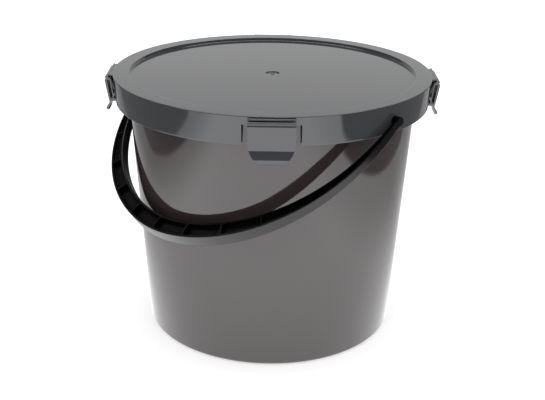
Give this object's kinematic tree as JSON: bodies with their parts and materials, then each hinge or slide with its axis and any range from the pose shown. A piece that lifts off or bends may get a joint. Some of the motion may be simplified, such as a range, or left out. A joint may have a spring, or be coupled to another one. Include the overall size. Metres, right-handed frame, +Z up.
{
  "type": "wash bucket with lid",
  "caption": "Round tapered plastic wash bucket with a recessed press-on lid, hinged side clips that hook the rim, and a ribbed swinging carry handle.",
  "frame": {"origin": "centre of the base, on the surface that the bucket stands on", "axes": "+Z up along the bucket's axis, through the lid; -Y points to the viewer and the front clip; +X to the viewer's right; the handle's pivot axis lies level at 45 degrees between +X and -Y"},
  "size_m": [0.3133, 0.3133, 0.2496],
  "materials": {
    "bucket_plastic": "glossy moulded polypropylene, warm taupe grey",
    "lid_plastic": "glossy moulded polypropylene, cool slate grey",
    "clip_plastic": "glossy moulded polypropylene, cool slate grey",
    "handle_plastic": "glossy moulded polypropylene, black"
  },
  "bodies": {
    "bucket": {"bucket": "bucket_plastic"},
    "lid": {"lid": "lid_plastic"},
    "handle": {"handle": "handle_plastic"},
    "clip_front": {"clip_front": "clip_plastic"},
    "clip_right": {"clip_right": "clip_plastic"},
    "clip_back": {"clip_back": "clip_plastic"},
    "clip_left": {"clip_left": "clip_plastic"}
  },
  "joints": [
    {"name": "handle_swing", "type": "hinge", "parent": "bucket", "child": "handle", "pos_m": [0, 0, 0.2347], "axis": [-0.7071, 0.7071, 0], "range_deg": [0, 253.6]},
    {"name": "lid_lift", "type": "slide", "parent": "bucket", "child": "lid", "axis": [0, 0, 1], "range_m": [0, 0.3]},
    {"name": "clip_right_hinge", "type": "hinge", "parent": "lid", "child": "clip_right", "pos_m": [0.154, 0, 0.247], "axis": [0, -1, 0], "range_deg": [0, 110]},
    {"name": "clip_back_hinge", "type": "hinge", "parent": "lid", "child": "clip_back", "pos_m": [0, 0.154, 0.247], "axis": [1, 0, 0], "range_deg": [0, 110]},
    {"name": "clip_left_hinge", "type": "hinge", "parent": "lid", "child": "clip_left", "pos_m": [-0.154, 0, 0.247], "axis": [0, 1, 0], "range_deg": [0, 110]},
    {"name": "clip_front_hinge", "type": "hinge", "parent": "lid", "child": "clip_front", "pos_m": [0, -0.154, 0.247], "axis": [-1, 0, 0], "range_deg": [0, 110]}
  ]
}
